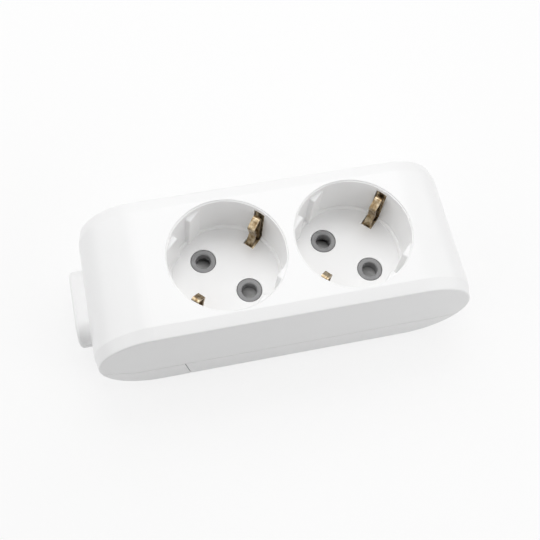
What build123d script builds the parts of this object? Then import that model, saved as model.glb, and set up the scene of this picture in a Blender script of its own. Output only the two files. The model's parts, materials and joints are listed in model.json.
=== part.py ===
from build123d import *
import os
from math import atan2, cos, degrees, radians, sin

# Housing: a flat-ended pill, long in X, with its side faces across Y
body_length = 129.2
body_width = 49.5
body_height = 41.0
wall = 2.0
shoulder_width = 4.3
shoulder_drop = 1.0
edge_round = 0.6

# Parting line, and the slanted joint between base plate and wiring cover
base_height = 12.4
rise_foot = 12.5
rise_top = 4.0
rise_round = 4.0
seam_width = 0.35
seam_depth = 0.5
joint_in = 0.7
joint_slant = 2.0
joint_gap = 0.3

# Cable inlet block on the -X end
inlet_projection = 4.6
inlet_width = 26.6
inlet_height = 14.0
inlet_corner = 6.0
inlet_edge_round = 1.5
inlet_axis_z = 16.0
inlet_root = 6.0
inlet_depth = 4.4
cable_hole = 9.5

# Socket wells
well_diameter = 39.0
well_depth = 17.5
well_pitch = 42.6
well_shift = 4.5
well_wall = 1.6
well_floor = 2.0
rim_round = 0.5
floor_round = 1.0
pin_line_angle = -45.0
well_draft = 0.4
rib_face = 17.1
rib_drop = 2.5
rib_notch = 7.0
rib_notch_draft = 1.0
rib_edge = 0.55
clip_slot_width = 4.0
clip_slot_drop = 2.0
clip_slot_reach = 13.6

# Plug pins
pin_pitch = 19.0
pin_diameter = 4.8

# Pin guides
guide_radius = 16.2
guide_thickness = 2.0
collar_diameter = 8.5
collar_play = 0.18
collar_edge = 0.2
pin_hole_diameter = 5.2
pin_lead_in = 0.3
post_diameter = 5.0
stake_diameter = 3.0
stake_head_diameter = 4.6
stake_head_height = 0.8
stake_play = 0.05

# Shutters
shutter_thickness = 2.3
shutter_play = 0.3
shutter_width = 6.2
shutter_reach = 12.4
shutter_hub_diameter = 10.0
pivot_play = 0.05
ramp_depth = 1.7
ramp_width = 4.1

# Shutter return springs
spring_thickness = 0.3
spring_height = 1.9
spring_gap = 0.3
spring_anchor_x = 5.2
spring_anchor_y = 13.4
spring_anchor_size = 2.6
spring_tip_x = 10.8
spring_slot_play = 0.03

# Brass strips
strip_thickness = 0.8
strip_width = 6.4
strip_seat = 1.0
contact_length = 7.0
contact_grip = 0.2
contact_flare = 0.7
contact_flare_height = 2.2
contact_drop = 1.0
tongue_width = 4.2
bend_radius = 0.9
earth_bar_width = 4.6
yoke_eye_diameter = 8.0
clip_width = 2.6
clip_back_in = 0.9
clip_fold_drop = 1.9
clip_knee_in = 3.0
clip_knee_drop = 4.65
clip_ridge_in = 4.9
clip_ridge_drop = 6.3
clip_waist_in = 3.4
clip_waist_drop = 12.3
clip_toe_in = 5.05
clip_toe_depth = 0.6

# Terminals
terminal_length = 6.4
terminal_width = 6.2
terminal_wall = 1.0
terminal_window = 4.6
terminal_base = 2.6
terminal_play = 0.1
terminal_edge = 0.4
terminal_gap = 0.8
pole_terminal_step = 6.0
pole_tongue_z = 13.4
riser_gap = 1.8
riser_lead = 1.5

# Screws
screw_diameter = 3.0
screw_head_diameter = 5.6
screw_head_height = 2.0
screw_play = 0.05
screw_length = 14.0
screw_hole_play = 0.2
screw_head_play = 0.4
screw_seat = 3.6
slot_width = 0.8
slot_depth = 0.9
boss_diameter = 7.0
side_boss_y = 18.2
end_boss_out = 2.2
end_boss_y = 15.0
wiring_boss_inset = 4.9
wiring_boss_y = 15.0
terminal_screw_length = 5.0

# Cord clamp
clamp_inset = 11.1
clamp_length = 5.0
clamp_width = 21.0
clamp_thickness = 3.2
clamp_top_z = 12.5
clamp_groove = 9.0
clamp_groove_depth = 0.8
clamp_screw_length = 11.0
clamp_boss_diameter = 6.0
saddle_thickness = 3.0
saddle_z = 20.5

# Supports in the base plate
pillar_diameter = 3.4
pillar_place = 14.6
cradle_thickness = 1.6
cradle_half_width = 12.0
cradle_height = 5.0
cradle_play = 0.2
cradle_inset = 1.7

# Tool overlap past the faces that a cut goes through
margin = 1.0

# Places that follow from the sizes above
bottom_up = (Align.CENTER, Align.CENTER, Align.MIN)
body_x = inlet_projection / 2
body_left = body_x - body_length / 2
body_right = body_x + body_length / 2
inlet_face_x = body_left - inlet_projection
mid_x = body_x + well_shift
sides = {"left": mid_x - well_pitch / 2, "right": mid_x + well_pitch / 2}
flat_half = body_width / 2 - shoulder_width
shoulder_angle = degrees(atan2(shoulder_drop, shoulder_width))
well_radius = well_diameter / 2
joint_x = sides["left"] - well_radius + joint_in
end_boss_x = sides["right"] + well_radius + end_boss_out
floor_z = body_height - well_depth
floor_under_z = floor_z - well_floor
guide_under_z = floor_under_z - guide_thickness
shutter_top_z = guide_under_z - shutter_play
shutter_under_z = shutter_top_z - shutter_thickness
yoke_top_z = shutter_under_z - shutter_play
yoke_under_z = yoke_top_z - strip_thickness
bar_under_z = yoke_under_z - strip_thickness
contact_top_z = bar_under_z - contact_drop
strip_under_z = wall + strip_seat
strip_z = strip_under_z + strip_thickness / 2
pin_offset = pin_pitch / 2
pin_dx = pin_offset * cos(radians(pin_line_angle))
pin_dy = pin_offset * sin(radians(pin_line_angle))
pin_line = (cos(radians(pin_line_angle)), sin(radians(pin_line_angle)), 0)
clip_line = (-sin(radians(pin_line_angle)), cos(radians(pin_line_angle)), 0)


def flat_plane(x, z):
    # Level plane on a well's axis, with its x along the line of the pins
    return Plane(origin=(x, 0, z), x_dir=pin_line, z_dir=(0, 0, 1))


def section_plane(x, turn=1):
    # Upright plane on a well's axis, with its x along the line of the earth clips
    across = tuple(turn * value for value in clip_line)
    along = tuple(turn * value for value in pin_line)
    return Plane(origin=(x, 0, 0), x_dir=across, z_dir=along)


def housing_form(inset):
    with BuildPart() as form:
        for plane, depth, taper in (
            (Plane.XZ, flat_half, 0),
            (Plane.XZ.offset(flat_half), shoulder_width - inset, shoulder_angle),
        ):
            with BuildSketch(plane):
                with Locations((body_x, body_height / 2)):
                    SlotOverall(body_length - 2 * inset, body_height - 2 * inset)
            extrude(amount=depth, taper=taper)
        mirror(about=Plane.XZ)
    return form.part


def inlet_form(inset):
    with BuildPart() as block:
        with BuildSketch(Plane.YZ.offset(inlet_face_x + inset)):
            with Locations((0, inlet_axis_z)):
                RectangleRounded(inlet_width - 2 * inset, inlet_height - 2 * inset, inlet_corner - inset)
        extrude(amount=inlet_projection + inlet_root)
        fillet(block.faces().sort_by(Axis.X)[0].edges(), inlet_edge_round)
    return block.part


def parting_zone(drop):
    # Everything below the parting line, which rises to the cable's axis at the inlet
    left = inlet_face_x - margin
    right = body_right + margin
    with BuildPart() as zone:
        with BuildSketch(Plane.XZ):
            with BuildLine():
                FilletPolyline(
                    (left, inlet_axis_z - drop),
                    (body_left + rise_top, inlet_axis_z - drop),
                    (body_left + rise_foot, base_height - drop),
                    (right, base_height - drop),
                    radius=rise_round,
                )
                Polyline(
                    (right, base_height - drop),
                    (right, -margin),
                    (left, -margin),
                    (left, inlet_axis_z - drop),
                )
            make_face()
        extrude(amount=body_width, both=True)
    return zone.part


def joint_zone(shift, far_x):
    # One side of the slanted joint between wiring cover and base plate
    top_x = joint_x + shift
    foot_x = top_x + joint_slant
    with BuildPart() as zone:
        with BuildSketch(Plane.XZ):
            Polygon(
                (foot_x + joint_slant * margin / base_height, -margin),
                (top_x - joint_slant * (inlet_axis_z - base_height) / base_height, inlet_axis_z),
                (far_x, inlet_axis_z),
                (far_x, -margin),
                align=None,
            )
        extrude(amount=body_width, both=True)
    return zone.part


def well_pocket(x):
    wall_x = x + well_radius
    rim_radius = well_radius + rim_round
    foot_x = wall_x - well_draft
    floor_edge_x = foot_x - floor_round
    with BuildPart() as pocket:
        with BuildSketch(Plane.XZ):
            with BuildLine():
                Polyline((floor_edge_x, floor_z), (x, floor_z), (x, body_height + margin))
                Polyline(
                    (x, body_height + margin),
                    (x + rim_radius, body_height + margin),
                    (x + rim_radius, body_height),
                )
                RadiusArc((x + rim_radius, body_height), (wall_x, body_height - rim_round), rim_round)
                Line((wall_x, body_height - rim_round), (foot_x, floor_z + floor_round))
                RadiusArc((foot_x, floor_z + floor_round), (floor_edge_x, floor_z), -floor_round)
            make_face()
        revolve(axis=Axis((x, 0, 0), (0, 0, 1)))
        add(guide_ribs(x), mode=Mode.SUBTRACT)
    return pocket.part


def guide_ribs(x):
    # Chord-shaped ribs at both ends of the pin line, each with a tapered notch at its middle
    rib_top_z = body_height - rib_drop
    notch_half = rib_notch / 2
    with BuildPart() as ribs:
        for turn in (-1, 1):
            face = section_plane(x, turn).offset(rib_face)
            with BuildSketch(face):
                for side in (-1, 1):
                    Polygon(
                        (side * (notch_half - rib_notch_draft), floor_z),
                        (side * notch_half, rib_top_z),
                        (side * well_radius, rib_top_z),
                        (side * well_radius, floor_z),
                        align=None,
                    )
            extrude(amount=well_radius - rib_face)
            for side in (-1, 1):
                corner = Vertex(face.from_local_coords((side * notch_half, rib_top_z, 0)))
                fillet(ribs.edges().filter_by(lambda edge: edge.distance_to(corner) < rib_edge / 2), rib_edge)
    return ribs.part


def pan_screw(length, diameter, head_diameter):
    # Slotted pan-head screw, head down, its seat at z = 0
    with BuildPart() as screw:
        Cylinder(diameter / 2, length, align=bottom_up)
        with Locations((0, 0, -screw_head_height)):
            Cylinder(head_diameter / 2, screw_head_height, align=bottom_up)
        fillet(screw.edges().sort_by(Axis.Z)[0], screw_head_height / 2)
        with Locations((0, 0, -screw_head_height)):
            Box(head_diameter, slot_width, slot_depth, align=bottom_up, mode=Mode.SUBTRACT)
    return screw.part


os.makedirs("parts", exist_ok=True)

base_screw_places = [
    (mid_x, side_boss_y),
    (mid_x, -side_boss_y),
    (end_boss_x, end_boss_y),
    (end_boss_x, -end_boss_y),
]
wiring_screw_places = [(joint_x - wiring_boss_inset, turn * wiring_boss_y) for turn in (-1, 1)]
clamp_x = body_left + clamp_inset
clamp_screw_y = (clamp_width - clamp_length) / 2
clamp_screw_places = [(clamp_x, clamp_screw_y), (clamp_x, -clamp_screw_y)]
housing_screw_places = base_screw_places + wiring_screw_places
pilot_radius = screw_diameter / 2 + screw_play
screw_hole_radius = screw_diameter / 2 + screw_hole_play
head_bore_radius = screw_head_diameter / 2 + screw_head_play
screw_tip_z = screw_seat + screw_length
clamp_tip_z = clamp_top_z - clamp_thickness + clamp_screw_length

# Outer form of the closed housing
with BuildPart() as shell:
    add(housing_form(0))
    side_faces = shell.faces().sort_by(Axis.Y)
    fillet(side_faces[0].edges() + side_faces[-1].edges(), edge_round)
    add(inlet_form(0))

# Shallow groove along the parting line
with BuildPart() as seam:
    add(parting_zone(0))
    add(parting_zone(seam_width), mode=Mode.SUBTRACT)
    add(housing_form(seam_depth), mode=Mode.SUBTRACT)
    add(inlet_form(seam_depth), mode=Mode.SUBTRACT)

# Bore of the cable inlet
with BuildPart() as cable_bore:
    with BuildSketch(Plane.YZ.offset(inlet_face_x - margin)):
        with Locations((0, inlet_axis_z)):
            Circle(cable_hole / 2)
    extrude(amount=margin + inlet_projection + inlet_root + wall)

# Thick wall behind the inlet, with a flat inner face
with BuildPart() as inlet_backing:
    with BuildSketch(Plane.YZ.offset(body_left)):
        with Locations((0, inlet_axis_z)):
            RectangleRounded(inlet_width, inlet_height, inlet_corner)
    extrude(amount=inlet_depth)

# Hollow of the top cover, with wells, bosses and cable saddle standing in it
with BuildPart() as cover_core:
    add(housing_form(wall))
    for x in sides.values():
        with Locations((x, 0, floor_under_z)):
            Cylinder(well_radius + well_wall, body_height, align=bottom_up, mode=Mode.SUBTRACT)
    for x, y in housing_screw_places:
        with Locations((x, y, base_height)):
            Cylinder(boss_diameter / 2, body_height, align=bottom_up, mode=Mode.SUBTRACT)
    for x, y in clamp_screw_places:
        with Locations((x, y, clamp_top_z)):
            Cylinder(clamp_boss_diameter / 2, body_height, align=bottom_up, mode=Mode.SUBTRACT)
    with Locations((clamp_x, 0, saddle_z)):
        Box(saddle_thickness, 2 * clamp_screw_y, body_height, align=bottom_up, mode=Mode.SUBTRACT)
    add(inlet_backing.part, mode=Mode.SUBTRACT)

# Top cover
with BuildPart() as top_cover:
    add(shell.part)
    add(parting_zone(0), mode=Mode.SUBTRACT)
    add(cover_core.part, mode=Mode.SUBTRACT)
    add(cable_bore.part, mode=Mode.SUBTRACT)
    for x in sides.values():
        add(well_pocket(x), mode=Mode.SUBTRACT)
        with BuildSketch(flat_plane(x, floor_under_z - margin)):
            with Locations((-pin_offset, 0), (pin_offset, 0)):
                Circle(collar_diameter / 2 + collar_play)
        extrude(amount=well_floor + 2 * margin, mode=Mode.SUBTRACT)
        slot_length = well_radius + well_wall + margin - clip_slot_reach
        with BuildSketch(flat_plane(x, floor_under_z - margin)):
            for turn in (-1, 1):
                with Locations((0, turn * (clip_slot_reach + slot_length / 2))):
                    Rectangle(clip_slot_width, slot_length)
        extrude(amount=well_depth + well_floor + margin - clip_slot_drop, mode=Mode.SUBTRACT)
    for x, y in housing_screw_places:
        with Locations((x, y, base_height)):
            Cylinder(pilot_radius, screw_tip_z + margin - base_height, align=bottom_up, mode=Mode.SUBTRACT)
    for x, y in clamp_screw_places:
        with Locations((x, y, clamp_top_z)):
            Cylinder(pilot_radius, clamp_tip_z + margin - clamp_top_z, align=bottom_up, mode=Mode.SUBTRACT)
top_cover.part.label = "top_cover"
export_step(top_cover.part, "parts/top_cover.step")

# Base plate: tray with screw bosses, strip cradles and pillars under the pin guides
with BuildPart() as base_core:
    add(housing_form(wall))
    for x, y in base_screw_places:
        with Locations((x, y, 0)):
            Cylinder(boss_diameter / 2, base_height, align=bottom_up, mode=Mode.SUBTRACT)
with BuildPart() as base_plate:
    add(shell.part)
    add(parting_zone(0), mode=Mode.INTERSECT)
    add(joint_zone(joint_gap / 2, body_right + margin), mode=Mode.INTERSECT)
    add(seam.part, mode=Mode.SUBTRACT)
    add(base_core.part, mode=Mode.SUBTRACT)
    for cradle_x in (joint_x + joint_slant + cradle_inset, mid_x, sides["right"]):
        with BuildSketch(Plane.YZ.offset(cradle_x - cradle_thickness / 2)):
            with Locations((0, (wall + cradle_height) / 2)):
                Rectangle(2 * cradle_half_width, wall + cradle_height)
            with Locations(*[(turn * pin_dy, strip_under_z + cradle_height / 2) for turn in (-1, 1)]):
                Rectangle(strip_width + 2 * cradle_play, cradle_height, mode=Mode.SUBTRACT)
        extrude(amount=cradle_thickness)
    for x in sides.values():
        with Locations((x, -pillar_place, wall / 2), (x, pillar_place, wall / 2)):
            Cylinder(pillar_diameter / 2, guide_under_z - wall / 2, align=bottom_up)
    for x, y in base_screw_places:
        with Locations((x, y, 0)):
            Cylinder(screw_hole_radius, body_height, align=bottom_up, mode=Mode.SUBTRACT)
            Cylinder(head_bore_radius, screw_seat, align=bottom_up, mode=Mode.SUBTRACT)
base_plate.part.label = "base_plate"
export_step(base_plate.part, "parts/base_plate.step")

# Wiring cover: end piece with the lower half of the inlet
with BuildPart() as wiring_core:
    add(housing_form(wall))
    for x, y in wiring_screw_places:
        with Locations((x, y, 0)):
            Cylinder(boss_diameter / 2, base_height, align=bottom_up, mode=Mode.SUBTRACT)
    add(inlet_backing.part, mode=Mode.SUBTRACT)
with BuildPart() as wiring_cover:
    add(shell.part)
    add(parting_zone(0), mode=Mode.INTERSECT)
    add(joint_zone(-joint_gap / 2, inlet_face_x - margin), mode=Mode.INTERSECT)
    add(seam.part, mode=Mode.SUBTRACT)
    add(wiring_core.part, mode=Mode.SUBTRACT)
    add(cable_bore.part, mode=Mode.SUBTRACT)
    for x, y in wiring_screw_places:
        with Locations((x, y, 0)):
            Cylinder(screw_hole_radius, body_height, align=bottom_up, mode=Mode.SUBTRACT)
            Cylinder(head_bore_radius, screw_seat, align=bottom_up, mode=Mode.SUBTRACT)
wiring_cover.part.label = "wiring_cover"
export_step(wiring_cover.part, "parts/wiring_cover.step")

for side, x in sides.items():
    pin_places = [(-pin_offset, 0), (pin_offset, 0)]

    # Pin guide: plate under the well floor, two collars flush in it, and the shutter's pivot post
    with BuildPart() as pin_guide:
        with BuildSketch(flat_plane(x, guide_under_z)):
            Circle(guide_radius)
        extrude(amount=guide_thickness)
        with BuildSketch(flat_plane(x, floor_under_z)):
            with Locations(*pin_places):
                Circle(collar_diameter / 2)
        extrude(amount=well_floor)
        chamfer(pin_guide.faces().sort_by(Axis.Z)[-2:].edges(), collar_edge)
        with BuildSketch(flat_plane(x, yoke_top_z)):
            Circle(post_diameter / 2)
        extrude(amount=guide_under_z - yoke_top_z)
        with BuildSketch(flat_plane(x, bar_under_z)):
            Circle(stake_diameter / 2)
        extrude(amount=yoke_top_z - bar_under_z)
        with BuildSketch(flat_plane(x, bar_under_z - stake_head_height)):
            Circle(stake_head_diameter / 2)
        extrude(amount=stake_head_height)
        with BuildSketch(flat_plane(x, shutter_under_z)):
            with Locations((spring_anchor_x, spring_anchor_y)):
                Rectangle(spring_anchor_size, spring_anchor_size)
                Rectangle(spring_thickness + 2 * spring_slot_play, spring_anchor_size, mode=Mode.SUBTRACT)
        extrude(amount=guide_under_z - shutter_under_z)
        with BuildSketch(flat_plane(x, guide_under_z)):
            with Locations(*pin_places):
                Circle(pin_hole_diameter / 2)
        extrude(amount=guide_thickness + well_floor, mode=Mode.SUBTRACT)
        mouths = pin_guide.edges().filter_by(GeomType.CIRCLE).group_by(Axis.Z)[-1]
        chamfer(mouths.filter_by(lambda edge: edge.radius < collar_diameter / 2 - collar_edge), pin_lead_in)
    pin_guide.part.label = f"pin_guide_{side}"
    export_step(pin_guide.part, f"parts/pin_guide_{side}.step")

    # Shutter: two-armed rotor with a ramp under each pin hole
    with BuildPart() as shutter:
        with BuildSketch(flat_plane(x, shutter_under_z)):
            SlotOverall(2 * shutter_reach, shutter_width)
            Circle(shutter_hub_diameter / 2)
            Circle(post_diameter / 2 + pivot_play, mode=Mode.SUBTRACT)
        extrude(amount=shutter_thickness)
        for turn in (-1, 1):
            with BuildSketch(section_plane(x, turn).offset(shutter_hub_diameter / 2)):
                Polygon(
                    (-shutter_width / 2, shutter_top_z - ramp_depth),
                    (-shutter_width / 2 + ramp_width, shutter_top_z),
                    (-shutter_width / 2, shutter_top_z),
                    align=None,
                )
            extrude(amount=shutter_reach, mode=Mode.SUBTRACT)
    shutter.part.label = f"shutter_{side}"
    export_step(shutter.part, f"parts/shutter_{side}.step")

    # Return spring: steel leaf from its anchor to the edge of one shutter arm
    spring_tip_y = (shutter_width + spring_thickness) / 2 + spring_gap
    with BuildPart() as shutter_spring:
        with BuildSketch(flat_plane(x, shutter_under_z + (shutter_thickness - spring_height) / 2)):
            with BuildLine():
                FilletPolyline(
                    (spring_anchor_x, spring_anchor_y + spring_anchor_size / 2),
                    (spring_anchor_x, spring_anchor_y - spring_anchor_size / 2 - bend_radius),
                    (spring_tip_x, spring_tip_y),
                    radius=bend_radius,
                )
            trace(line_width=spring_thickness)
        extrude(amount=spring_height)
    shutter_spring.part.label = f"shutter_spring_{side}"
    export_step(shutter_spring.part, f"parts/shutter_spring_{side}.step")

    # Earth yoke: one strip under the well, folded at both ends into sprung clips
    clip_half = [
        (0, yoke_top_z - strip_thickness / 2),
        (well_radius - clip_back_in, yoke_top_z - strip_thickness / 2),
        (well_radius - clip_back_in, body_height - clip_fold_drop),
        (well_radius - clip_knee_in, body_height - clip_knee_drop),
        (well_radius - clip_ridge_in, body_height - clip_ridge_drop),
        (well_radius - clip_waist_in, body_height - clip_waist_drop),
        (well_radius - clip_toe_in, floor_z - clip_toe_depth),
    ]
    with BuildPart() as earth_yoke:
        with BuildSketch(section_plane(x)):
            for turn in (-1, 1):
                with BuildLine():
                    FilletPolyline([(turn * v, z) for v, z in clip_half], radius=bend_radius)
                trace(line_width=strip_thickness)
        extrude(amount=clip_width / 2, both=True)
        with BuildSketch(flat_plane(x, yoke_under_z)):
            Circle(yoke_eye_diameter / 2)
        extrude(amount=strip_thickness)
        with BuildSketch(flat_plane(x, yoke_under_z)):
            Circle(stake_diameter / 2 + stake_play)
        extrude(amount=strip_thickness, mode=Mode.SUBTRACT)
    earth_yoke.part.label = f"earth_yoke_{side}"
    export_step(earth_yoke.part, f"parts/earth_yoke_{side}.step")

# Live and neutral busbars: flat strip, box-terminal tongue and a sprung contact under each pin
earth_x = clamp_x + clamp_length / 2 + terminal_gap + terminal_length / 2
terminal_x = earth_x + pole_terminal_step
tongue_tip_x = terminal_x - terminal_length / 2 - terminal_wall
riser_x = terminal_x + terminal_length / 2 + riser_gap
for pole, turn in (("live", -1), ("neutral", 1)):
    pole_y = turn * pin_dy
    pole_pins = [x + turn * pin_dx for x in sides.values()]
    grip_line = pin_diameter / 2 - contact_grip + strip_thickness / 2
    foot_line = (strip_width - strip_thickness) / 2
    with BuildPart() as busbar:
        with BuildSketch(Plane.XZ.offset(-pole_y)):
            with BuildLine():
                FilletPolyline(
                    (riser_x - riser_lead, pole_tongue_z),
                    (riser_x, pole_tongue_z),
                    (riser_x, strip_z),
                    (pole_pins[1] + contact_length / 2, strip_z),
                    radius=bend_radius,
                )
            trace(line_width=strip_thickness)
        extrude(amount=strip_width / 2, both=True)
        with BuildSketch(Plane.XZ.offset(-pole_y)):
            with BuildLine():
                Line((tongue_tip_x, pole_tongue_z), (riser_x - riser_lead, pole_tongue_z))
            trace(line_width=strip_thickness)
        extrude(amount=tongue_width / 2, both=True)
        for pin_x in pole_pins:
            with BuildSketch(Plane.YZ.offset(pin_x - contact_length / 2)):
                for leg in (-1, 1):
                    with BuildLine():
                        Polyline(
                            (pole_y + leg * foot_line, strip_z - strip_thickness / 2),
                            (pole_y + leg * foot_line, strip_z + strip_thickness),
                            (pole_y + leg * grip_line, contact_top_z - contact_flare_height),
                            (pole_y + leg * (grip_line + contact_flare), contact_top_z),
                        )
                    trace(line_width=strip_thickness)
            extrude(amount=contact_length)
    busbar.part.label = f"{pole}_busbar"
    export_step(busbar.part, f"parts/{pole}_busbar.step")

# Earth bar: strip along the middle, held under both yokes by the pivot posts
earth_tip_x = earth_x - terminal_length / 2 - terminal_wall
earth_end_x = sides["right"] + earth_bar_width
with BuildPart() as earth_bar:
    with BuildSketch(Plane.XY.offset(bar_under_z)):
        with Locations(((earth_tip_x + earth_end_x) / 2, 0)):
            Rectangle(earth_end_x - earth_tip_x, earth_bar_width)
        with Locations(((earth_tip_x + earth_x + terminal_length) / 2, 0)):
            Rectangle(earth_x + terminal_length - earth_tip_x, earth_bar_width, mode=Mode.SUBTRACT)
            Rectangle(earth_x + terminal_length - earth_tip_x, tongue_width)
        with Locations(*[(x, 0) for x in sides.values()]):
            Circle(stake_diameter / 2 + stake_play, mode=Mode.SUBTRACT)
    extrude(amount=strip_thickness)
earth_bar.part.label = "earth_bar"
export_step(earth_bar.part, "parts/earth_bar.step")

# Box terminals: each holds the end of its strip at the top of its window
terminals = {
    "live": (terminal_x, -pin_dy, pole_tongue_z + strip_thickness / 2),
    "neutral": (terminal_x, pin_dy, pole_tongue_z + strip_thickness / 2),
    "earth": (earth_x, 0, yoke_under_z),
}
terminal_height = terminal_wall + terminal_window + terminal_base
for pole, (x, y, tongue_top) in terminals.items():
    with BuildPart() as terminal:
        with Locations((x, y, tongue_top + terminal_wall - terminal_height)):
            Box(terminal_length, terminal_width, terminal_height, align=bottom_up)
        chamfer(terminal.edges().filter_by(Axis.X), terminal_edge)
        with Locations((x, y, tongue_top - terminal_window)):
            Box(
                terminal_length,
                tongue_width + 2 * terminal_play,
                terminal_window,
                align=bottom_up,
                mode=Mode.SUBTRACT,
            )
        with Locations((x, y, tongue_top - terminal_window - terminal_base)):
            Cylinder(pilot_radius, terminal_base, align=bottom_up, mode=Mode.SUBTRACT)
    terminal.part.label = f"{pole}_terminal"
    export_step(terminal.part, f"parts/{pole}_terminal.step")

terminal_screw = pan_screw(terminal_screw_length, screw_diameter, screw_head_diameter)
with BuildPart() as terminal_screws:
    for x, y, tongue_top in terminals.values():
        with Locations((x, y, tongue_top - terminal_window - terminal_base)):
            add(terminal_screw)
terminal_screws.part.label = "terminal_screws"
export_step(terminal_screws.part, "parts/terminal_screws.step")

# Cord clamp: bar across the two clamp bosses, grooved for the cable
with BuildPart() as cord_clamp:
    with BuildSketch(Plane.XY.offset(clamp_top_z - clamp_thickness)):
        with Locations((clamp_x, 0)):
            SlotOverall(clamp_width, clamp_length, rotation=90)
    extrude(amount=clamp_thickness)
    with BuildSketch(Plane.YZ.offset(clamp_x - clamp_length)):
        with Locations((0, clamp_top_z - clamp_groove_depth + clamp_groove / 2)):
            Circle(clamp_groove / 2)
    extrude(amount=2 * clamp_length, mode=Mode.SUBTRACT)
    for x, y in clamp_screw_places:
        with Locations((x, y, clamp_top_z - clamp_thickness)):
            Cylinder(screw_hole_radius, clamp_thickness, align=bottom_up, mode=Mode.SUBTRACT)
cord_clamp.part.label = "cord_clamp"
export_step(cord_clamp.part, "parts/cord_clamp.step")

clamp_screw = pan_screw(clamp_screw_length, screw_diameter, screw_head_diameter)
with BuildPart() as cord_clamp_screws:
    with Locations(*[(x, y, clamp_top_z - clamp_thickness) for x, y in clamp_screw_places]):
        add(clamp_screw)
cord_clamp_screws.part.label = "cord_clamp_screws"
export_step(cord_clamp_screws.part, "parts/cord_clamp_screws.step")

# Housing screws, each sunk in its counterbore under the tray
housing_screw = pan_screw(screw_length, screw_diameter, screw_head_diameter)
for name, places in (("base_screws", base_screw_places), ("wiring_cover_screws", wiring_screw_places)):
    with BuildPart() as screws:
        with Locations(*[(x, y, screw_seat) for x, y in places]):
            add(housing_screw)
    screws.part.label = name
    export_step(screws.part, f"parts/{name}.step")
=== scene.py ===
import json
from math import inf, pi, radians
import bpy
from mathutils import Matrix, Vector


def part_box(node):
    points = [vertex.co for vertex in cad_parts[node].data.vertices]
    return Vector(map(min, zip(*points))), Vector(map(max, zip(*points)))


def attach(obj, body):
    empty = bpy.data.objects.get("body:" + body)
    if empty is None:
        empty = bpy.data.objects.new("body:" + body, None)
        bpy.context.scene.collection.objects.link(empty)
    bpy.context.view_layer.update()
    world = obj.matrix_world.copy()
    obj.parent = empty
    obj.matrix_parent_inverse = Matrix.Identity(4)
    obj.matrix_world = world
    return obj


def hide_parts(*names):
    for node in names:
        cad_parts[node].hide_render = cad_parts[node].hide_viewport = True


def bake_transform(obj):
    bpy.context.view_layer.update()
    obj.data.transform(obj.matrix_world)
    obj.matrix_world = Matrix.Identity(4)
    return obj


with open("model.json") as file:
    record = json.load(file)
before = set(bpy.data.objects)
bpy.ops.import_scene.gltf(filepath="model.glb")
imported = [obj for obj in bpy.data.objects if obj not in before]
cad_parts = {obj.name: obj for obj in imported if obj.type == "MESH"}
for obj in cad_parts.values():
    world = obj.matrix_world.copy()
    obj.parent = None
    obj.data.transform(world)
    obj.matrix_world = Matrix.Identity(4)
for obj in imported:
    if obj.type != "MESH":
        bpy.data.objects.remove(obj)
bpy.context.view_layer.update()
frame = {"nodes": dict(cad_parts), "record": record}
nodes = frame["nodes"]
slotOf = {part["node"]: part["material_slot"] for part in frame["record"]["subparts"]}
scene = bpy.context.scene
mm = 0.001
print("frame loaded:", len(nodes), "nodes")


# Colours are written as sRGB hex and used as linear values
def linearColour(code):
    values = [int(code[i:i + 2], 16) / 255 for i in (1, 3, 5)]
    linear = [v / 12.92 if v <= 0.04045 else ((v + 0.055) / 1.055) ** 2.4 for v in values]
    return (*linear, 1.0)


# Node tree of a material or a world, emptied so that it can be built up
def emptyTree(owner):
    owner.use_nodes = True
    owner.node_tree.nodes.clear()
    return owner.node_tree


# An input given as a socket is linked, and any other value is set
def addNode(tree, kind, inputs=None, **settings):
    node = tree.nodes.new(kind)
    for name, value in settings.items():
        setattr(node, name, value)
    for name, value in (inputs or {}).items():
        if isinstance(value, bpy.types.NodeSocket):
            tree.links.new(value, node.inputs[name])
        else:
            node.inputs[name].default_value = value
    return node


# Shared by all finishes: octaves of both noises, and the noise values between which the gloss varies
noiseLook = {"toneDetail": 3.0, "grainDetail": 2.0, "glossSpan": (0.3, 0.7)}


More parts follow.
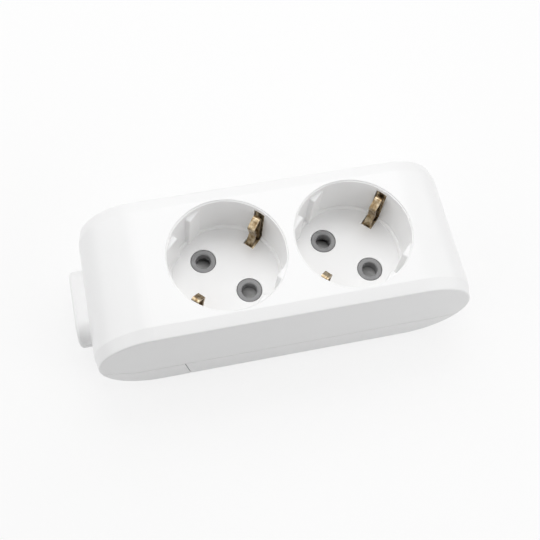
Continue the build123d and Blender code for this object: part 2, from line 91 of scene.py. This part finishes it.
# Moulded or rolled finish: broad noise shifts the tone, fine noise the gloss and the relief
def surfaceFinish(look):
    material = bpy.data.materials.new(look["name"])
    tree = emptyTree(material)
    place = addNode(tree, "ShaderNodeTexCoord")
    laid = addNode(tree, "ShaderNodeMapping", {
        "Vector": place.outputs["Object"],
        "Rotation": (0.0, 0.0, radians(look["turn"])),
    })
    drawn = addNode(tree, "ShaderNodeMapping", {
        "Vector": laid.outputs["Vector"],
        "Scale": look["stretch"],
    })
    tone = addNode(tree, "ShaderNodeTexNoise", {
        "Vector": drawn.outputs["Vector"],
        "Scale": 1 / (look["toneSize"] * mm),
        "Detail": noiseLook["toneDetail"],
    })
    grain = addNode(tree, "ShaderNodeTexNoise", {
        "Vector": drawn.outputs["Vector"],
        "Scale": 1 / (look["grainSize"] * mm),
        "Detail": noiseLook["grainDetail"],
    })
    ramp = addNode(tree, "ShaderNodeValToRGB", {"Fac": tone.outputs["Fac"]})
    for stop, position, colour in zip(ramp.color_ramp.elements, look["spread"], look["colours"]):
        stop.position = position
        stop.color = linearColour(colour)
    gloss = addNode(tree, "ShaderNodeMapRange", {
        "Value": grain.outputs["Fac"],
        "From Min": noiseLook["glossSpan"][0],
        "From Max": noiseLook["glossSpan"][1],
        "To Min": look["rough"][0],
        "To Max": look["rough"][1],
    })
    bump = addNode(tree, "ShaderNodeBump", {
        "Height": grain.outputs["Fac"],
        "Strength": look["relief"],
        "Distance": look["reliefDepth"] * mm,
    })
    shader = addNode(tree, "ShaderNodeBsdfPrincipled", {
        "Base Color": ramp.outputs["Color"],
        "Roughness": gloss.outputs["Result"],
        "Normal": bump.outputs["Normal"],
        "Metallic": look["metal"],
        "IOR": look["ior"],
        "Specular IOR Level": look["specular"],
    })
    addNode(tree, "ShaderNodeOutputMaterial", {"Surface": shader.outputs["BSDF"]})
    return material


# Sizes of the patterns are in millimetres
finishLooks = {
    # ABS from a polished mould: bright, even white with a soft gloss and a trace of orange peel
    "white_abs": {
        "name": "gloss moulded white ABS",
        "colours": ("#FAFAFA", "#FBFBFB"), "spread": (0.35, 0.65),
        "toneSize": 30.0, "grainSize": 0.5, "stretch": (1.0, 1.0, 1.0), "turn": 0.0,
        "rough": (0.285, 0.31), "relief": 0.02, "reliefDepth": 0.01,
        "metal": 0.0, "ior": 1.54, "specular": 0.5,
    },
    # Heat-proof polyamide from an eroded mould: dull mid grey, slightly cloudy
    # The mould's grain is about 0.1 mm, and is drawn at 0.4 mm so that it shows
    "grey_plastic": {
        "name": "matt moulded grey polyamide",
        "colours": ("#8F8F90", "#99999A"), "spread": (0.3, 0.7),
        "toneSize": 4.0, "grainSize": 0.4, "stretch": (1.0, 1.0, 1.0), "turn": 0.0,
        "rough": (0.46, 0.6), "relief": 0.15, "reliefDepth": 0.03,
        "metal": 0.0, "ior": 1.53, "specular": 0.4,
    },
    # Acetal slides without grease: waxy light grey with a satin sheen
    "shutter_plastic": {
        "name": "satin moulded grey acetal",
        "colours": ("#CCCCCB", "#D6D6D5"), "spread": (0.3, 0.7),
        "toneSize": 5.0, "grainSize": 0.4, "stretch": (1.0, 1.0, 1.0), "turn": 0.0,
        "rough": (0.36, 0.46), "relief": 0.1, "reliefDepth": 0.02,
        "metal": 0.0, "ior": 1.48, "specular": 0.4,
    },
    # Tempered strip keeps its rolling lines and a cool blue-grey shine
    "spring_steel": {
        "name": "rolled spring steel",
        "colours": ("#85888D", "#A6A9AE"), "spread": (0.3, 0.7),
        "toneSize": 3.0, "grainSize": 0.3, "stretch": (1.0, 1.0, 8.0), "turn": 0.0,
        "rough": (0.28, 0.4), "relief": 0.1, "reliefDepth": 0.01,
        "metal": 1.0, "ior": 1.5, "specular": 0.5,
    },
    # Brass strip drawn along the clips: pale yellow-grey streaks with brown handling tarnish
    "brass": {
        "name": "rolled and stamped brass",
        "colours": ("#806B4E", "#C1B297"), "spread": (0.38, 0.62),
        "toneSize": 1.1, "grainSize": 0.5, "stretch": (1.0, 0.5, 0.5), "turn": 45.0,
        "rough": (0.3, 0.42), "relief": 0.2, "reliefDepth": 0.02,
        "metal": 1.0, "ior": 1.5, "specular": 0.5,
    },
    # Barrel plating: bright cool grey, uneven from screw to screw
    "zinc_steel": {
        "name": "bright zinc-plated steel",
        "colours": ("#A7ABB1", "#C9CCD0"), "spread": (0.3, 0.7),
        "toneSize": 1.6, "grainSize": 0.3, "stretch": (1.0, 1.0, 1.0), "turn": 0.0,
        "rough": (0.28, 0.38), "relief": 0.1, "reliefDepth": 0.01,
        "metal": 1.0, "ior": 1.5, "specular": 0.5,
    },
    # Glass-filled polyamide: pale grey, dull and faintly speckled by its fibres
    "clamp_plastic": {
        "name": "fibre-filled light grey polyamide",
        "colours": ("#BEBEBC", "#CACAC8"), "spread": (0.3, 0.7),
        "toneSize": 1.5, "grainSize": 0.3, "stretch": (1.0, 1.0, 1.0), "turn": 0.0,
        "rough": (0.42, 0.56), "relief": 0.15, "reliefDepth": 0.02,
        "metal": 0.0, "ior": 1.53, "specular": 0.4,
    },
}
finishes = {slot: surfaceFinish(look) for slot, look in finishLooks.items()}

# The straight strips were drawn along the housing's length
lengthwise = {"name": "rolled brass busbar", "stretch": (0.12, 1.0, 1.0), "turn": 0.0}
busbarBrass = surfaceFinish({**finishLooks["brass"], **lengthwise})
straightStrips = ("live_busbar", "neutral_busbar", "earth_bar")

for name, piece in nodes.items():
    piece.data.materials.clear()
    piece.data.materials.append(busbarBrass if name in straightStrips else finishes[slotOf[name]])
print("finishes set:", len(bpy.data.materials))


# How finely the modelling works
mergeGap = 0.001 * mm  # points nearer than this are one point
cutGap = 0.00001 * mm  # points nearer than this to a cut lie on it
sliverSize = 0.002 * mm  # faces slimmer than this are dissolved
facingLimit = 0.9  # cosine of the angle up to which a face looks along an axis
smoothAngle = radians(32.0)  # steeper edges stay sharp


def clearSelection():
    bpy.ops.object.select_all(action="DESELECT")


def selectOnly(piece):
    clearSelection()
    piece.select_set(True)
    bpy.context.view_layer.objects.active = piece


# Opens the piece in edit mode with its whole mesh selected
def editWhole(piece):
    selectOnly(piece)
    bpy.ops.object.mode_set(mode="EDIT")
    bpy.ops.mesh.select_all(action="SELECT")


def leaveEdit():
    bpy.ops.object.mode_set(mode="OBJECT")


# Opens the piece in edit mode with only those faces selected that look along the axis, past a place on x
def editFacing(piece, axis, past=-inf):
    editWhole(piece)
    bpy.ops.mesh.select_all(action="DESELECT")
    leaveEdit()
    for face in piece.data.polygons:
        face.select = face.normal.dot(axis) > facingLimit and face.center.x > past
    bpy.ops.object.mode_set(mode="EDIT")


def extrudeBy(step):
    bpy.ops.mesh.extrude_region_move(TRANSFORM_OT_translate={"value": step})


def applyPlace():
    bpy.ops.object.transform_apply(location=True, rotation=True, scale=True)


def applyModifier(piece, kind, **settings):
    bpy.context.view_layer.objects.active = piece
    added = piece.modifiers.new(kind.title(), kind)
    for name, value in settings.items():
        setattr(added, name, value)
    bpy.ops.object.modifier_apply(modifier=added.name)


# Cuts the tool out of the piece or adds it, and uses the tool up
def combine(piece, tool, operation):
    applyModifier(piece, "BOOLEAN", object=tool, operation=operation, solver="EXACT")
    bpy.data.objects.remove(tool)


# Copy with a mesh of its own
def ownCopy(piece):
    copy = piece.copy()
    copy.data = piece.data.copy()
    scene.collection.objects.link(copy)
    return copy


# Copies a pattern to each place and turn, joins the copies in one piece and uses the pattern up
def joinCopies(pattern, placings, name, finish):
    selectOnly(pattern)
    bpy.ops.object.shade_smooth_by_angle(angle=smoothAngle)
    copies = []
    for place, turn in placings:
        copy = ownCopy(pattern)
        copy.location = place
        copy.rotation_euler = (0, 0, radians(turn))
        copies.append(copy)
    bpy.data.objects.remove(pattern)
    selectOnly(copies[0])
    for copy in copies:
        copy.select_set(True)
    applyPlace()
    bpy.ops.object.join()
    joined = bpy.context.object
    joined.name = name
    joined.data.materials.clear()
    joined.data.materials.append(finish)
    return joined


# Slotted pan-head screws, modelled head down with the seat at z = 0
# Sizes in millimetres, with the thread's crest and core as radii
screwLook = {
    "headRadius": 2.8, "headHeight": 2.0, "headRound": 0.95, "headSides": 40, "headSteps": 6,
    "slotWidth": 0.8, "slotDepth": 0.9,
    "slotOverrun": 1.1,  # length of the slot's cutter over the head's width
    "sunk": 0.4,  # how far the shank reaches into the head
    "crest": 1.48, "tip": 0.6, "tipScale": 0.45, "threadSteps": 20,
    "spareTurns": 2,  # swept past each end and then cut off
    "slotTurns": (18.0, 74.0, 141.0, 52.0),  # in degrees, one for each screw of a node
}
# Coarse tapping threads cut their own way in the bosses, and the terminals take machine threads
tappingThread = {"core": 1.1, "pitch": 1.2, "flank": 0.25, "land": 0.12}
machineThread = {"core": 1.2, "pitch": 0.5, "flank": 0.2, "land": 0.06}
threadLooks = {
    "base_screws": tappingThread,
    "wiring_cover_screws": tappingThread,
    "cord_clamp_screws": tappingThread,
    "terminal_screws": machineThread,
}


# Seat and shank length of each screw in a node, from its loose pieces
def screwPlaces(node):
    editWhole(ownCopy(node))
    bpy.ops.mesh.remove_doubles(threshold=mergeGap)
    bpy.ops.mesh.separate(type="LOOSE")
    leaveEdit()
    places = []
    for island in list(bpy.context.selected_objects):
        corners = [Vector(corner) for corner in island.bound_box]
        low, high = corners[0], corners[6]  # opposite corners of the box
        seat = low.z + screwLook["headHeight"] * mm
        places.append((((low.x + high.x) / 2, (low.y + high.y) / 2, seat), high.z - seat))
        bpy.data.objects.remove(island)
    return sorted(places)


# One turn's outline is swept up a helix, cut level at both ends and drawn in at the tip
def threadedShank(thread, length):
    core, pitch, flank, land = (thread[size] * mm for size in ("core", "pitch", "flank", "land"))
    ridge = screwLook["crest"] * mm - core
    tip = screwLook["tip"] * mm
    spare = screwLook["spareTurns"]
    clearSelection()
    bpy.ops.mesh.primitive_plane_add(size=core)
    shank = bpy.context.object
    editWhole(shank)
    bpy.ops.mesh.merge(type="CENTER")
    bpy.ops.transform.translate(value=(core, 0, -spare * pitch))
    for step in ((ridge, 0, flank), (0, 0, land), (-ridge, 0, flank), (0, 0, pitch - 2 * flank - land)):
        extrudeBy(step)
    leaveEdit()
    applyModifier(
        shank, "SCREW", axis="Z", angle=2 * pi, screw_offset=pitch,
        iterations=int(length / pitch) + 2 * spare,
        steps=screwLook["threadSteps"], render_steps=screwLook["threadSteps"],
    )
    editWhole(shank)
    bpy.ops.mesh.remove_doubles(threshold=mergeGap)
    for height, upper in ((-screwLook["sunk"] * mm, False), (length - tip, True)):
        bpy.ops.mesh.select_all(action="SELECT")
        bpy.ops.mesh.bisect(
            plane_co=(0, 0, height), plane_no=(0, 0, 1), use_fill=True,
            clear_inner=not upper, clear_outer=upper, threshold=cutGap,
        )
    extrudeBy((0, 0, tip))
    narrow = screwLook["tipScale"]
    bpy.ops.transform.resize(value=(narrow, narrow, 1), center_override=(0, 0, length))
    bpy.ops.mesh.select_all(action="SELECT")
    bpy.ops.mesh.normals_make_consistent(inside=False)
    leaveEdit()
    return shank


# Round head with a domed rim and a straight slot
def slottedHead():
    radius = screwLook["headRadius"] * mm
    height = screwLook["headHeight"] * mm
    clearSelection()
    bpy.ops.mesh.primitive_cylinder_add(
        vertices=screwLook["headSides"], radius=radius, depth=height, location=(0, 0, -height / 2),
    )
    head = bpy.context.object
    applyPlace()
    editFacing(head, Vector((0, 0, -1)))
    bpy.ops.mesh.bevel(offset=screwLook["headRound"] * mm, segments=screwLook["headSteps"], affect="EDGES")
    leaveEdit()
    clearSelection()
    bpy.ops.mesh.primitive_cube_add(size=1, location=(0, 0, -height))
    cutter = bpy.context.object
    slotLength = 2 * screwLook["slotOverrun"] * radius
    cutter.scale = (slotLength, screwLook["slotWidth"] * mm, 2 * screwLook["slotDepth"] * mm)
    applyPlace()
    combine(head, cutter, "DIFFERENCE")
    return head


# Each node's screws are alike: one is modelled and copied to every place
for node, thread in threadLooks.items():
    seats, lengths = zip(*screwPlaces(nodes[node]))
    pattern = slottedHead()
    combine(pattern, threadedShank(thread, lengths[0]), "UNION")
    editWhole(pattern)
    bpy.ops.mesh.dissolve_degenerate(threshold=sliverSize)
    leaveEdit()
    placings = zip(seats, screwLook["slotTurns"])
    screws = joinCopies(pattern, placings, "threaded_" + node, finishes["zinc_steel"])
    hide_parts(node)
    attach(screws, "housing")
    print("screws modelled:", screws.name, len(seats))


# Brass liners of the clip slots: a leaf behind each clip, folded into a foot under its toe
# One is modelled along x from the well's axis and turned to each slot, sizes in millimetres
linerLook = {
    "reach": (13.75, 20.8), "heights": (21.8, 38.9), "width": 3.8, "gauge": 0.8,
    "legReach": (17.9, 19.3), "legWidth": 3.0,  # window for the clip's back leg
    "edge": 0.15, "edgeSteps": 2, "turns": (45.0, 225.0),
}


# Block along x, with its ends, its width and its heights in millimetres
def addBlock(ends, width, heights):
    clearSelection()
    bpy.ops.mesh.primitive_cube_add(size=1, location=(sum(ends) / 2 * mm, 0, sum(heights) / 2 * mm))
    block = bpy.context.object
    block.scale = ((ends[1] - ends[0]) * mm, width * mm, (heights[1] - heights[0]) * mm)
    applyPlace()
    return block


# The foot is drawn out to the fold and the leaf is drawn up from there, then the window is cut
def clipLiner():
    gauge = linerLook["gauge"]
    toe, back = linerLook["reach"]
    foot, top = linerLook["heights"]
    fold = back - gauge
    liner = addBlock((toe, fold), linerLook["width"], (foot, foot + gauge))
    editFacing(liner, Vector((1, 0, 0)))
    extrudeBy((gauge * mm, 0, 0))
    leaveEdit()
    editFacing(liner, Vector((0, 0, 1)), fold * mm)
    extrudeBy((0, 0, (top - foot - gauge) * mm))
    leaveEdit()
    window = addBlock(linerLook["legReach"], linerLook["legWidth"], (foot - gauge, foot + 2 * gauge))
    combine(liner, window, "DIFFERENCE")
    applyModifier(
        liner, "BEVEL", width=linerLook["edge"] * mm, segments=linerLook["edgeSteps"],
        limit_method="ANGLE", use_clamp_overlap=True,
    )
    return liner


placings = []
for yoke in ("earth_yoke_left", "earth_yoke_right"):
    low, high = (Vector(corner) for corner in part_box(yoke))
    middle = (low + high) / 2
    placings += [((middle.x, middle.y, 0), turn) for turn in linerLook["turns"]]
liners = joinCopies(clipLiner(), placings, "clip_liners", finishes["brass"])
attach(liners, "housing")
print("clip liners modelled:", len(placings))


# Leaf springs: each is copied to a mesh of its own and subdivided, and the model's spring is hidden
leafLook = {"anchored": 0.24, "cuts": 5}
for side in ("left", "right"):
    spring = "shutter_spring_" + side
    leaf = bpy.data.objects.new("leaf_spring_" + side, nodes[spring].data.copy())
    scene.collection.objects.link(leaf)
    editWhole(leaf)
    bpy.ops.mesh.remove_doubles(threshold=mergeGap)
    bpy.ops.mesh.subdivide(number_cuts=leafLook["cuts"])
    leaveEdit()
    low, high = (Vector(corner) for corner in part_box(spring))
    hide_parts(spring)
    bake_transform(leaf)
    print("leaf spring set to bend:", leaf.name)


# 1 for rays that see the background, straight, mirrored or through a surface, and 0 for the light it gives
def seenRays(tree):
    rays = addNode(tree, "ShaderNodeLightPath").outputs
    looks = {0: rays["Is Camera Ray"], 1: rays["Is Glossy Ray"]}
    mirrored = addNode(tree, "ShaderNodeMath", looks, operation="MAXIMUM")
    looks = {0: mirrored.outputs["Value"], 1: rays["Is Transmission Ray"]}
    return addNode(tree, "ShaderNodeMath", looks, operation="MAXIMUM").outputs["Value"]


# Pale paper under the object: it looks white, and throws back a little less light
# The object's shadow shows near it, and the paper fades to plain white further out, in metres
floorLook = {
    "size": 6.0, "thrown": "#E7E7E7", "seen": "#FFFFFF", "rough": 0.9, "specular": 0.0,
    "strength": 1.0, "glow": (0.75, 1.0), "fade": (0.1, 0.5),
}
clearSelection()
bpy.ops.mesh.primitive_plane_add(size=floorLook["size"])
floor = bpy.context.object
floor.name = "studioFloor"
paper = bpy.data.materials.new("matt white paper")
paperTree = emptyTree(paper)
paperSeen = seenRays(paperTree)
paperTone = addNode(paperTree, "ShaderNodeValToRGB", {"Fac": paperSeen})
for stop, tone in zip(paperTone.color_ramp.elements, ("thrown", "seen")):
    stop.color = linearColour(floorLook[tone])
paperShader = addNode(paperTree, "ShaderNodeBsdfPrincipled", {
    "Base Color": paperTone.outputs["Color"],
    "Roughness": floorLook["rough"],
    "Specular IOR Level": floorLook["specular"],
})
paperGlow = addNode(paperTree, "ShaderNodeEmission", {
    "Color": linearColour(floorLook["seen"]),
    "Strength": floorLook["strength"],
})
paperPlace = addNode(paperTree, "ShaderNodeTexCoord").outputs["Object"]
paperReach = addNode(paperTree, "ShaderNodeVectorMath", {"Vector": paperPlace}, operation="LENGTH")
paperFade = addNode(paperTree, "ShaderNodeMapRange", {
    "Value": paperReach.outputs["Value"],
    "From Min": floorLook["fade"][0],
    "From Max": floorLook["fade"][1],
    "To Min": floorLook["glow"][0],
    "To Max": floorLook["glow"][1],
})
paperShare = addNode(paperTree, "ShaderNodeMath", {
    0: paperSeen,
    1: paperFade.outputs["Result"],
}, operation="MULTIPLY")
paperMix = addNode(paperTree, "ShaderNodeMixShader", {
    "Fac": paperShare.outputs["Value"],
    1: paperShader.outputs["BSDF"],
    2: paperGlow.outputs["Emission"],
})
addNode(paperTree, "ShaderNodeOutputMaterial", {"Surface": paperMix.outputs["Shader"]})
floor.data.materials.append(paper)
print("floor set")


# Soft studio light: a dim white room, small panels above, behind and in front, large ones at both sides
roomLook = {"colour": "#FFFFFF", "light": 0.17, "seen": 1.0}
room = bpy.data.worlds.new("white room")
roomTree = emptyTree(room)
roomStrength = addNode(roomTree, "ShaderNodeMapRange", {
    "Value": seenRays(roomTree),
    "To Min": roomLook["light"],
    "To Max": roomLook["seen"],
})
roomShade = addNode(roomTree, "ShaderNodeBackground", {
    "Color": linearColour(roomLook["colour"]),
    "Strength": roomStrength.outputs["Result"],
})
addNode(roomTree, "ShaderNodeOutputWorld", {"Surface": roomShade.outputs["Background"]})
scene.world = room

# Places and sizes in metres, power in watts
panels = {
    "topPanel": {"place": (0.0, 0.08, 0.6), "size": (0.3, 0.3), "power": 0.42},
    "backPanel": {"place": (0.04, 0.24, 0.38), "size": (0.45, 0.3), "power": 0.73},
    "leftPanel": {"place": (-0.8, 0.1, 0.47), "size": (1.4, 1.0), "power": 4.7},
    "rightPanel": {"place": (0.8, 0.0, 0.5), "size": (1.4, 1.0), "power": 3.1},
    "frontPanel": {"place": (0.25, -0.28, 0.2), "size": (0.25, 0.25), "power": 0.3},
}
for name, panel in panels.items():
    lamp = bpy.data.lights.new(name, "AREA")
    lamp.shape = "RECTANGLE"
    lamp.size, lamp.size_y = panel["size"]
    lamp.energy = panel["power"]
    light = bpy.data.objects.new(name, lamp)
    scene.collection.objects.link(light)
    light.location = panel["place"]
    light.rotation_euler = (-Vector(panel["place"])).to_track_quat("-Z", "Y").to_euler()
print("lights set:", len(panels), "panels")


# Camera at the photograph's viewing angle: place in metres, lens and sensor in millimetres
cameraLook = {
    "place": (-0.04079, -0.11581, 0.29241),
    "right": (0.97574, -0.21044, 0.06032),
    "up": (0.16805, 0.89662, 0.40967),
    "lens": 57.29,
    "sensor": 36.0,
    "clipStart": 0.01,
}
lens = bpy.data.cameras.new("photoCamera")
lens.sensor_width = cameraLook["sensor"]
lens.lens = cameraLook["lens"]
lens.clip_start = cameraLook["clipStart"]
camera = bpy.data.objects.new("photoCamera", lens)
scene.collection.objects.link(camera)
right = Vector(cameraLook["right"]).normalized()
up = Vector(cameraLook["up"]).normalized()
facing = Matrix((right, up, right.cross(up))).transposed()
camera.matrix_world = Matrix.Translation(cameraLook["place"]) @ facing.to_4x4()
scene.camera = camera
scene.view_settings.view_transform = "Standard"
print("camera set")
